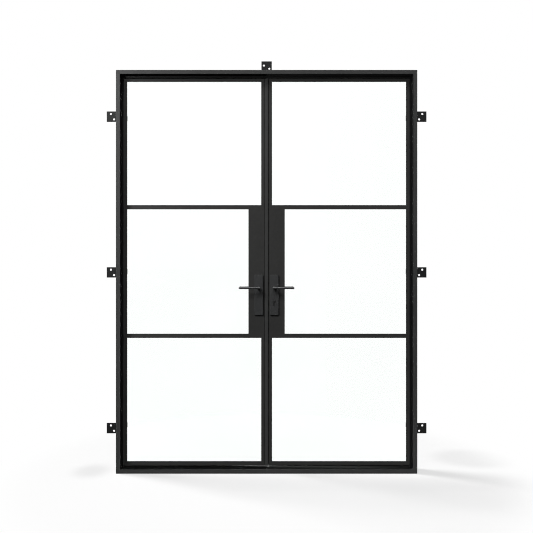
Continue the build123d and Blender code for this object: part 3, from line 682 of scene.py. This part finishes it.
    # handle plates
    for back in (False, True):
        y_near, y_far = (DOOR_B + PLATE_T, DOOR_B) if back else (DOOR_F - PLATE_T, DOOR_F)
        holes = [lambda g, lx=lx: circle(lx, LEVER_Z, HUB_R + 0.3 + g, 56)]
        if s > 0:
            holes.append(lambda g, lx=lx: profile_hole(lx, CYL_Z, 0.25 + g))
        if back:
            for z in PLATE_SCREW_Z:
                holes.append(lambda g, lx=lx, z=z: circle(lx, z, 5.35 + g, 40))
        bm = slab(lambda g, lx=lx: rounded(lx, (PLATE_Z0 + PLATE_Z1) / 2, PLATE_W + 2 * g, PLATE_Z1 - PLATE_Z0 + 2 * g, max(1.5 + g, 0.3)),
                  holes, y_near, y_far, 0.9, 0.2, 4)
        where = "back" if back else "front"
        piece(f"{side}_{where}_handle_plate", bm, body, M["black_hardware"], (f"{side}_{where}_plate",))
    bm = bmesh.new()
    for z in PLATE_SCREW_Z:
        screw_into(bm, axis_place((lx, DOOR_B + PLATE_T - 0.1, z), (0, 1, 0)), 5.2, 2.5, 2.7, 60.0, hex_loop(1.9), 2.4)
    piece(f"{side}_plate_screw_pair", clean(bm), body, M["black_screw"], (f"{side}_plate_screws",), shade="angle")

    # levers: a round neck and a round bar, welded and blended
    for back in (False, True):
        yc = DOOR_F - BAR_OFF
        neck = bmesh.new()
        # from the bar's axis back into the plate
        prof = round_end(HUB_R, 0.0, 0.9) + [(HUB_R, DOOR_F - 6.0 - yc)]
        lathe(neck, [(0.01, 0.0)] + prof + [(0.01, DOOR_F - 6.0 - yc)], axis_place((lx, yc, LEVER_Z), (0, 1, 0)), 64, caps=(True, True))
        clean(neck)
        bar = bmesh.new()
        length = abs(LEVER_TIP[s] - LEVER_IN[s])
        prof = round_end(BAR_R, 0.0, 1.2, True, 5) + list(reversed(round_end(BAR_R, length, 1.2, False, 5)))
        lathe(bar, [(0.01, 0.0)] + prof + [(0.01, length)], axis_place((LEVER_IN[s], yc, LEVER_Z), (s, 0, 0)), 64, caps=(True, True))
        clean(bar)

        def blend_joint(ob):
            b = ob.modifiers.new("blend", "BEVEL")
            b.width, b.segments, b.limit_method, b.angle_limit = 0.7 * MM, 3, "ANGLE", math.radians(50)

        bm = boolean(neck, [bar], "UNION", blend_joint)
        if back:
            bmesh.ops.transform(bm, matrix=Matrix.Translation((0, 2 * MID_Y * MM, 0)) @ Matrix.Diagonal((1, -1, 1, 1)), verts=bm.verts)
            clean(bm)
        where = "back" if back else "front"
        piece(f"{side}_{where}_lever_bar", bm, f"{side}_lever", M["black_hardware"], (f"{side}_{where}_lever",), shade="angle", angle=32)

# astragal: box and raised strip
w = WALL
by0 = DOOR_F + 4.0
ops = [(1, B(EDGE[-1], STRIP_X1, by0, DOOR_B, LEAF_Z0, LEAF_Z1)),
       (-1, B(EDGE[-1] + w, STRIP_X1 - w, by0 + w, DOOR_B - w, LEAF_Z0 + 3, LEAF_Z1 - 3)),
       (1, B(STRIP_X0, STRIP_X1, STRIP_Y, by0, LEAF_Z0, STRIP_TOP)),
       (1, B(STRIP_X0, STRIP_X1, DOOR_F, by0, STRIP_TOP, LEAF_Z1)),
       (-1, B(STRIP_X1 - w, STRIP_X1, MID_Y - 10.05, MID_Y + 10.05, 1039.95, 1182.05)),
       (-1, B(EDGE[-1], EDGE[-1] + w, 43.5, 51.5, 1147.0, 1176.0)),
       (-1, B(EDGE[-1], EDGE[-1] + w, 43.5, 51.5, 1064.0, 1093.0))]
bm = soften(blocks(ops), 0.8, 3)
bm = boolean(bm, [rod((-2.0, 47.5, LEAF_Z0 - 1), (0, 0, 1), 5.3, 5.5), rod((-2.0, 47.5, LEAF_Z1 + 1), (0, 0, -1), 5.3, 5.5)])
piece("meeting_astragal", bm, "left_leaf", M["black_frame"], ("astragal",))

# a soft lip on the astragal's edge closes the gap between the leaves, clear of the lock's strike plate
bm = bmesh.new()
shape = [(8.3, 17.3), (10.4, 17.5), (12.03, 18.3), (12.03, 19.0), (10.2, 19.3), (8.3, 20.3)]
loft(bm, [[(x, y, z) for x, y in shape] for z in (LEAF_Z0 + 0.5, LEAF_Z1 - 0.5)], caps=(True, True))
piece("meeting_seal", clean(bm), "left_leaf", M["seal_rubber"], shade="angle")

for name in ("lock_case", "strike_plate", "latch_bolt", "deadbolt", "top_shoot_bolt", "bottom_shoot_bolt"):
    ease_node(name, 0.3, 2, 40)
for name in ("thumbturn", "lock_cylinder", "key_plug"):
    ease_node(name, 0.25, 2, 50)

# ------------------------------------------------------------------ studio
cam = bpy.data.objects.new("camera", bpy.data.cameras.new("camera"))
scene.collection.objects.link(cam)
cam.data.sensor_width = 36.0
cam.data.lens = 36.0 * (4050.0 / 6.034) / 533.0
cam.location = (-0.00066, -4.108, 1.251)
cam.rotation_euler = (math.radians(90), 0, 0)
cam.data.clip_end = 100
scene.camera = cam


def aim(ob, at):
    ob.rotation_euler = (Vector(at) - ob.location).to_track_quat("-Z", "Y").to_euler()


def softbox(name, at, to, size, power, colour=(1, 1, 1)):
    d = bpy.data.lights.new(name, "AREA")
    d.shape, d.size, d.size_y, d.energy, d.color = "RECTANGLE", size[0], size[1], power, colour
    ob = bpy.data.objects.new(name, d)
    scene.collection.objects.link(ob)
    ob.location = at
    aim(ob, to)
    ob.visible_camera = False
    return ob


def sunlight(name, azimuth, elevation, strength, spread):
    """Even light from far off, azimuth degrees to the left of straight in front."""
    az, el = math.radians(azimuth), math.radians(elevation)
    d = bpy.data.lights.new(name, "SUN")
    d.energy, d.angle = strength, math.radians(spread)
    ob = bpy.data.objects.new(name, d)
    scene.collection.objects.link(ob)
    ob.location = (-3 * math.sin(az) * math.cos(el), -3 * math.cos(az) * math.cos(el), 1.2 + 3 * math.sin(el))
    aim(ob, (0, 0, 1.2))
    return ob


KEY = (34.0, 41.0, 2.15, 22.0)
key = sunlight("leaf_key", *KEY)
open_key = sunlight("leaf_key_open", *KEY)
FRONT = (3.0, 55.0, 4.7, 22.0)
front_key = sunlight("frame_key", *FRONT)
TOP = (0.0, 72.0, 3.0, 24.0)
top_light = sunlight("lever_light", *TOP)
BEHIND = (110.8, 51.0, 1.2, 18.0)
behind = sunlight("floor_light", *BEHIND)
REAR = (186.0, 20.0, 2.6, 30.0)
rear = sunlight("rear_light", *REAR)
flank_right = sunlight("flank_light_right", -92.0, 6.0, 2.4, 14.0)
flank_left = sunlight("flank_light_left", 92.0, 6.0, 1.6, 14.0)
CORNER = 15.5
corner = softbox("corner_light", (-1.55, -0.95, 2.55), (-0.9, 0.0, 2.1), (0.3, 1.1), CORNER)
SIDE = 5.0
side_lamp = softbox("side_light", (-1.55, -0.95, 1.1), (-0.9, 0.0, 0.8), (0.3, 1.6), SIDE)

world = bpy.data.worlds.new("studio")
scene.world = world
world.use_nodes = True
nt = world.node_tree
nt.nodes.clear()


def node(kind, **values):
    n = nt.nodes.new(kind)
    for k, v in values.items():
        setattr(n, k, v)
    return n


def join(a, b):
    nt.links.new(a, b)


def behind_glass(path):
    """1 for what is seen straight through the glass, 0 for what is lit or mirrored."""
    straight = node("ShaderNodeMath", operation="LESS_THAN")
    join(plus(path.outputs["Glossy Depth"], path.outputs["Diffuse Depth"]), straight.inputs[0])
    straight.inputs[1].default_value = 0.5
    both = node("ShaderNodeMath", operation="MULTIPLY")
    join(straight.outputs[0], both.inputs[0])
    join(path.outputs["Is Transmission Ray"], both.inputs[1])
    return both.outputs[0]


THROUGH = 1.2   # makes up for what two panes of glass hold back
# the studio as the door sees it: one broad glow in front, high and a little to the left, and little from behind
way = node("ShaderNodeTexCoord").outputs["Generated"]


def glow(azimuth, elevation, power, strength):
    az, el = math.radians(azimuth), math.radians(elevation)
    dot = node("ShaderNodeVectorMath", operation="DOT_PRODUCT")
    join(way, dot.inputs[0])
    dot.inputs[1].default_value = (-math.sin(az) * math.cos(el), -math.cos(az) * math.cos(el), math.sin(el))
    keep = node("ShaderNodeMath", operation="MAXIMUM")
    join(dot.outputs["Value"], keep.inputs[0])
    keep.inputs[1].default_value = 0.0
    rise = node("ShaderNodeMath", operation="POWER")
    join(keep.outputs[0], rise.inputs[0])
    rise.inputs[1].default_value = power
    times = node("ShaderNodeMath", operation="MULTIPLY")
    join(rise.outputs[0], times.inputs[0])
    times.inputs[1].default_value = strength
    return times.outputs[0]


def plus(a, b):
    n = node("ShaderNodeMath", operation="ADD")
    for i, v in enumerate((a, b)):
        if isinstance(v, float):
            n.inputs[i].default_value = v
        else:
            join(v, n.inputs[i])
    return n.outputs[0]


GLOWS = [(10.0, 42.0, 5.0, 0.5)]
total = 0.006
for g in GLOWS:
    total = plus(glow(*g), total)
lit = node("ShaderNodeBackground")
lit.inputs["Color"].default_value = (1, 1, 1, 1)
join(total, lit.inputs["Strength"])
seen = node("ShaderNodeBackground")
seen.inputs["Color"].default_value = (1, 1, 1, 1)
seen.inputs["Strength"].default_value = 1.0
through = node("ShaderNodeBackground")
through.inputs["Color"].default_value = (1, 1, 1, 1)
through.inputs["Strength"].default_value = THROUGH
path = node("ShaderNodeLightPath")
first = node("ShaderNodeMixShader")
join(behind_glass(path), first.inputs[0])
join(lit.outputs[0], first.inputs[1])
join(through.outputs[0], first.inputs[2])
second = node("ShaderNodeMixShader")
join(path.outputs["Is Camera Ray"], second.inputs[0])
join(first.outputs[0], second.inputs[1])
join(seen.outputs[0], second.inputs[2])
join(second.outputs[0], node("ShaderNodeOutputWorld").inputs["Surface"])

FLOOR_GLOW = 0.04
# floor: pale near the door, with painted shadows mixed in there, and lost in the white further out
floor_bm = bmesh.new()
bmesh.ops.create_grid(floor_bm, x_segments=1, y_segments=1, size=300.0)
floor = temp(floor_bm, "floor")
fm = bpy.data.materials.new("floor")
fm.use_nodes = True
nt = fm.node_tree
nt.nodes.clear()
diffuse = node("ShaderNodeBsdfDiffuse")
diffuse.inputs["Color"].default_value = (0.80, 0.80, 0.80, 1)
fill = node("ShaderNodeEmission")
FILL = 0.655
fill.inputs["Strength"].default_value = FILL
near = node("ShaderNodeAddShader")
join(diffuse.outputs[0], near.inputs[0])
join(fill.outputs[0], near.inputs[1])
coord = node("ShaderNodeTexCoord")


def painted_shadow_spot(cx, cy, rx, ry, turn, depth, soft):
    """Painted shadow: the share of the floor's light painted away over an oval patch of floor, as if the door held it
    back.
    """
    place = node("ShaderNodeMapping", vector_type="TEXTURE")
    place.inputs["Location"].default_value = (cx, cy, 0)
    place.inputs["Rotation"].default_value = (0, 0, math.radians(turn))
    place.inputs["Scale"].default_value = (rx, ry, 1)
    join(coord.outputs["Object"], place.inputs["Vector"])
    far = node("ShaderNodeVectorMath", operation="LENGTH")
    join(place.outputs[0], far.inputs[0])
    ease = node("ShaderNodeMapRange", interpolation_type="SMOOTHERSTEP")
    ease.inputs["From Min"].default_value = soft
    ease.inputs["From Max"].default_value = 1.0
    ease.inputs["To Min"].default_value = depth
    ease.inputs["To Max"].default_value = 0.0
    join(far.outputs["Value"], ease.inputs["Value"])
    return ease.outputs[0]


# painted shadows on the floor: a soft patch left of the left jamb, a broad faint one in front of the door, and one
# behind the right jamb
PAINTED_SHADOWS = [(-1.07, 0.00, 0.18, 0.22, 0.0, 0.13, 0.1),
         (0.45, -0.34, 1.20, 0.36, -9.0, 0.02, 0.65),
         (1.36, 0.27, 0.38, 0.29, 0.0, 0.11, 0.4)]
painted_shadow = 0.0
for spot in PAINTED_SHADOWS:
    painted_shadow = plus(painted_shadow_spot(*spot), painted_shadow)
# painted shadow: the lit floor is mixed toward black by the summed patches
dark = node("ShaderNodeEmission")
dark.inputs["Strength"].default_value = 0.0
shaded = node("ShaderNodeMixShader")
join(painted_shadow, shaded.inputs[0])
join(near.outputs[0], shaded.inputs[1])
join(dark.outputs[0], shaded.inputs[2])
white = node("ShaderNodeEmission")
white.inputs["Strength"].default_value = 1.0
size = node("ShaderNodeVectorMath", operation="LENGTH")
join(coord.outputs["Object"], size.inputs[0])
fade = node("ShaderNodeMapRange", interpolation_type="SMOOTHERSTEP")
fade.inputs["From Min"].default_value = 1.25
fade.inputs["From Max"].default_value = 1.7
join(size.outputs["Value"], fade.inputs["Value"])
shown = node("ShaderNodeMixShader")
join(fade.outputs[0], shown.inputs[0])
join(shaded.outputs[0], shown.inputs[1])
join(white.outputs[0], shown.inputs[2])
extra = node("ShaderNodeEmission")
brighter = node("ShaderNodeMath", operation="MULTIPLY_ADD")
join(fade.outputs[0], brighter.inputs[0])
brighter.inputs[1].default_value = -0.07
brighter.inputs[2].default_value = THROUGH - 0.93
join(brighter.outputs[0], extra.inputs["Strength"])
more = node("ShaderNodeAddShader")
join(shown.outputs[0], more.inputs[0])
join(extra.outputs[0], more.inputs[1])
dim = node("ShaderNodeEmission")
dim.inputs["Strength"].default_value = FLOOR_GLOW
path = node("ShaderNodeLightPath")
first = node("ShaderNodeMixShader")
join(behind_glass(path), first.inputs[0])
join(dim.outputs[0], first.inputs[1])
join(more.outputs[0], first.inputs[2])
second = node("ShaderNodeMixShader")
join(path.outputs["Is Camera Ray"], second.inputs[0])
join(first.outputs[0], second.inputs[1])
join(shown.outputs[0], second.inputs[2])
join(second.outputs[0], node("ShaderNodeOutputMaterial").inputs["Surface"])
floor.data.materials.append(fm)

# what each lamp lights: the one from behind draws the long faint shadows on the floor and nothing else, the leaves
# and the frame have key lights of their own (its stop bars stay dark), the frame holds back half of the leaves' key, and no
# key is mirrored in the panes
frame_parts = [ob for ob in scene.objects if ob.type == "MESH" and ob is not floor and (body_of(ob) or [""])[0] == "frame"]
panes = [nodes[f"{side}_{n}"] for side in ("left", "right") for n in ("top_glass", "middle_glass", "bottom_glass")]


def link_lamp(lamp, what, things, blockers=False):
    group = bpy.data.collections.new(f"{lamp.name}_{'blockers' if blockers else 'receivers'}")
    for ob in things:
        group.objects.link(ob)
    if blockers:
        lamp.light_linking.blocker_collection = group
    else:
        lamp.light_linking.receiver_collection = group
    for member in group.collection_objects:
        member.light_linking.link_state = what


link_lamp(behind, "INCLUDE", [floor])
link_lamp(front_key, "INCLUDE", [ob for ob in frame_parts if not ob.name.endswith("stop_bars")])
link_lamp(top_light, "INCLUDE", [ob for ob in scene.objects if ob.name.endswith(("_handle_plate", "_lever_bar"))])
link_lamp(key, "EXCLUDE", [floor] + panes + frame_parts)
link_lamp(open_key, "EXCLUDE", [floor] + panes + frame_parts)
link_lamp(open_key, "EXCLUDE", frame_parts, blockers=True)
for lamp in (rear, corner, side_lamp, flank_right, flank_left):
    link_lamp(lamp, "EXCLUDE", [floor] + panes)

scene.view_settings.view_transform = "Standard"
scene.view_settings.look = "None"
scene.cycles.filter_width = 1.0
